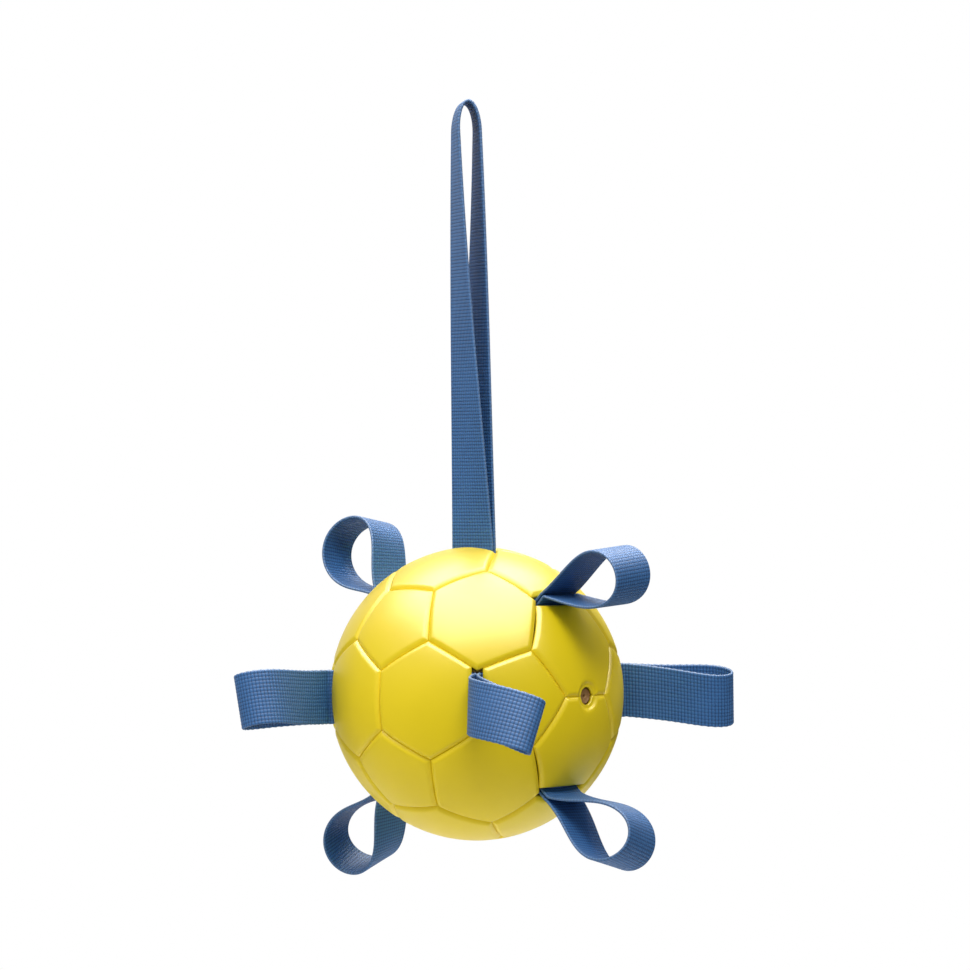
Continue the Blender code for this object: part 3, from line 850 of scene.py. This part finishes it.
def bladder_rubber():
    """Black with a grey bloom, rougher where the bloom is."""
    rubber = Finish(bpy.data.materials.new("bladder_rubber"), {"Metallic": 0.0})
    bloom = rubber.noise(rubber.place(), BLOOMS_PER_METRE)
    colour = rubber.mix(bloom.between(0.35, 0.7), BLACK_DEEP, BLACK_BLOOM)
    dimples = rubber.bump(bloom, DIMPLE_HEIGHT)
    return rubber.shade(Base_Color=colour, Roughness=0.45 + 0.25 * bloom, Normal=dimples)


black = bladder_rubber()
INNER = {"carcass": carcass_fabric(), "bladder": black, "valve_housing": black}
for node, finish in INNER.items():
    data = frame["nodes"][node].data
    data.materials.clear()
    data.materials.append(finish)
print("inner layers finished:", ", ".join(INNER))

# %% [markdown]
# ## Floor
# The toy hangs over a pale floor disc that fades out at its rim, so that it has no hard edge. It reaches
# further back than to the front, as its light shows at the bottom of the ball.

# %% Floor
FLOOR_DROP = 0.62
FLOOR_RADIUS = 0.8
FLOOR_THICKNESS = 0.005
FLOOR_HUB = 0.2 * FLOOR_RADIUS
FADE_FROM = 0.5 * FLOOR_RADIUS
FLOOR_POINTS = 96
FLOOR_MIDDLE = np.array(in_row(-0.10, 0.35, 0.0))[:2]
FLOOR_GREY = (0.92, 0.92, 0.92, 1)
FLOOR_PALE = (0.95, 0.95, 0.95, 1)
FLOOR_GRAINS_PER_METRE = 40.0


def make_floor():
    """A flat disc, hub and rim above and below, that fades from half its radius to the rim."""
    paint = Finish(bpy.data.materials.new("floor_paint"), {"Metallic": 0.0})
    place = paint.place()
    ends = {0: place, 1: (*FLOOR_MIDDLE, -FLOOR_DROP)}
    from_middle = paint.node("ShaderNodeVectorMath", {"operation": "DISTANCE"}, ends, "Value")
    grain = paint.noise(place, FLOOR_GRAINS_PER_METRE)
    colour = paint.mix(grain, FLOOR_GREY, FLOOR_PALE)
    fade = 1 - from_middle.between(FADE_FROM, FLOOR_RADIUS)
    finish = paint.shade(Base_Color=colour, Roughness=0.7 + 0.1 * grain, Alpha=fade)
    around = np.linspace(0, 2 * np.pi, FLOOR_POINTS, endpoint=False)
    radius = np.array([FLOOR_HUB, FLOOR_RADIUS, FLOOR_RADIUS, FLOOR_HUB])[:, None]
    height = np.array([0, 0, -FLOOR_THICKNESS, -FLOOR_THICKNESS])[:, None] - FLOOR_DROP
    disc = np.stack([radius * np.cos(around), radius * np.sin(around), height + 0 * around], axis=-1)
    floor = closed_skin("floor", disc + (*FLOOR_MIDDLE, 0.0), finish)
    return floor


print("floor at", -FLOOR_DROP, "m:", make_floor().name)

# %% [markdown]
# ## Lights
# A soft key light high in front models the ball and throws the tabs' shadows. Others come from the left and
# from behind on the right. These three stay out of reflections, where they would show as bright spots. A
# wide card overhead is seen only in reflections: it makes the broad satin shine on top.


# %% Lights
def make_light(name, place, size, power):
    """A square soft light at a place in the view, turned to the ball."""
    data = bpy.data.lights.new(name, "AREA")
    data.size = size
    data.energy = power
    light = bpy.data.objects.new(name, data)
    light.location = in_row(*place)
    light.rotation_euler = (Vector(BALL_CENTRE) - light.location).to_track_quat("-Z", "Y").to_euler()
    bpy.context.scene.collection.objects.link(light)
    return light


make_light("key", place=(0.18, -1.10, 1.22), size=0.7, power=15.5).visible_glossy = False
make_light("left", place=(-1.30, -0.50, 0.70), size=0.8, power=3.2).visible_glossy = False
make_light("rim", place=(0.85, 1.15, 0.80), size=0.6, power=13).visible_glossy = False
make_light("shine_card", place=(0.00, -0.10, 1.25), size=2.0, power=205).visible_diffuse = False
print(len(bpy.data.lights), "soft lights")

# %% [markdown]
# ## Surroundings
# The pale surroundings fill the rest of the light, more from the left. The background is white to the
# camera and, where the backdrop is mirrored, in reflections. It is told apart by the kind of ray, so a
# white background doesn't light the toy more.

# %% Surroundings
FILL = 0.60
FILL_WAY = row_from_view @ Vector((-0.86, -0.22, 0.46))
FILL_LEAST = 0.4
FILL_LOBE = (-0.8, 0.8)
MIRRORED_FILL = 0.12
BACKDROP_WAY = row_from_view @ Vector((-0.30, 0.85, 0.43))
BACKDROP_LOBE = (0.65, 0.95)
WHITE = (1, 1, 1, 1)


def make_surroundings():
    """A fill that grows towards the left; white to the camera, and in reflections towards the backdrop."""
    sky = Finish(bpy.data.worlds.new("surroundings"), {"Color": WHITE}, "Background")
    way = sky.node("ShaderNodeTexCoord", {}, {}, "Generated")

    def towards(target):
        """Cosine of the angle between a ray and a direction."""
        sockets = {0: way, 1: target}
        return sky.node("ShaderNodeVectorMath", {"operation": "DOT_PRODUCT"}, sockets, "Value")

    rays = ("Is Camera Ray", "Is Glossy Ray", "Is Transmission Ray")
    seen, mirrored, through = (sky.node("ShaderNodeLightPath", {}, {}, ray) for ray in rays)
    backdrop = mirrored * towards(BACKDROP_WAY).between(*BACKDROP_LOBE)
    share = seen.math("MAXIMUM", through).math("MAXIMUM", backdrop)
    white = sky.node("ShaderNodeBackground", {}, {"Color": WHITE, "Strength": 1.0})
    from_left = FILL_LEAST + (1 - FILL_LEAST) * towards(FILL_WAY).between(*FILL_LOBE)
    sky.shade(Strength=FILL * from_left * (1 - (1 - MIRRORED_FILL) * mirrored))
    fill = Value(sky, sky.shader.outputs[0])
    both = sky.node("ShaderNodeMixShader", {}, {0: share, 1: fill, 2: white})
    sky.feed(sky.tree.nodes["World Output"], {"Surface": both})
    return sky.owner


bpy.context.scene.world = make_surroundings()
bpy.context.scene.view_settings.view_transform = "Standard"
print("fill of", FILL_LEAST * FILL, "to", FILL)
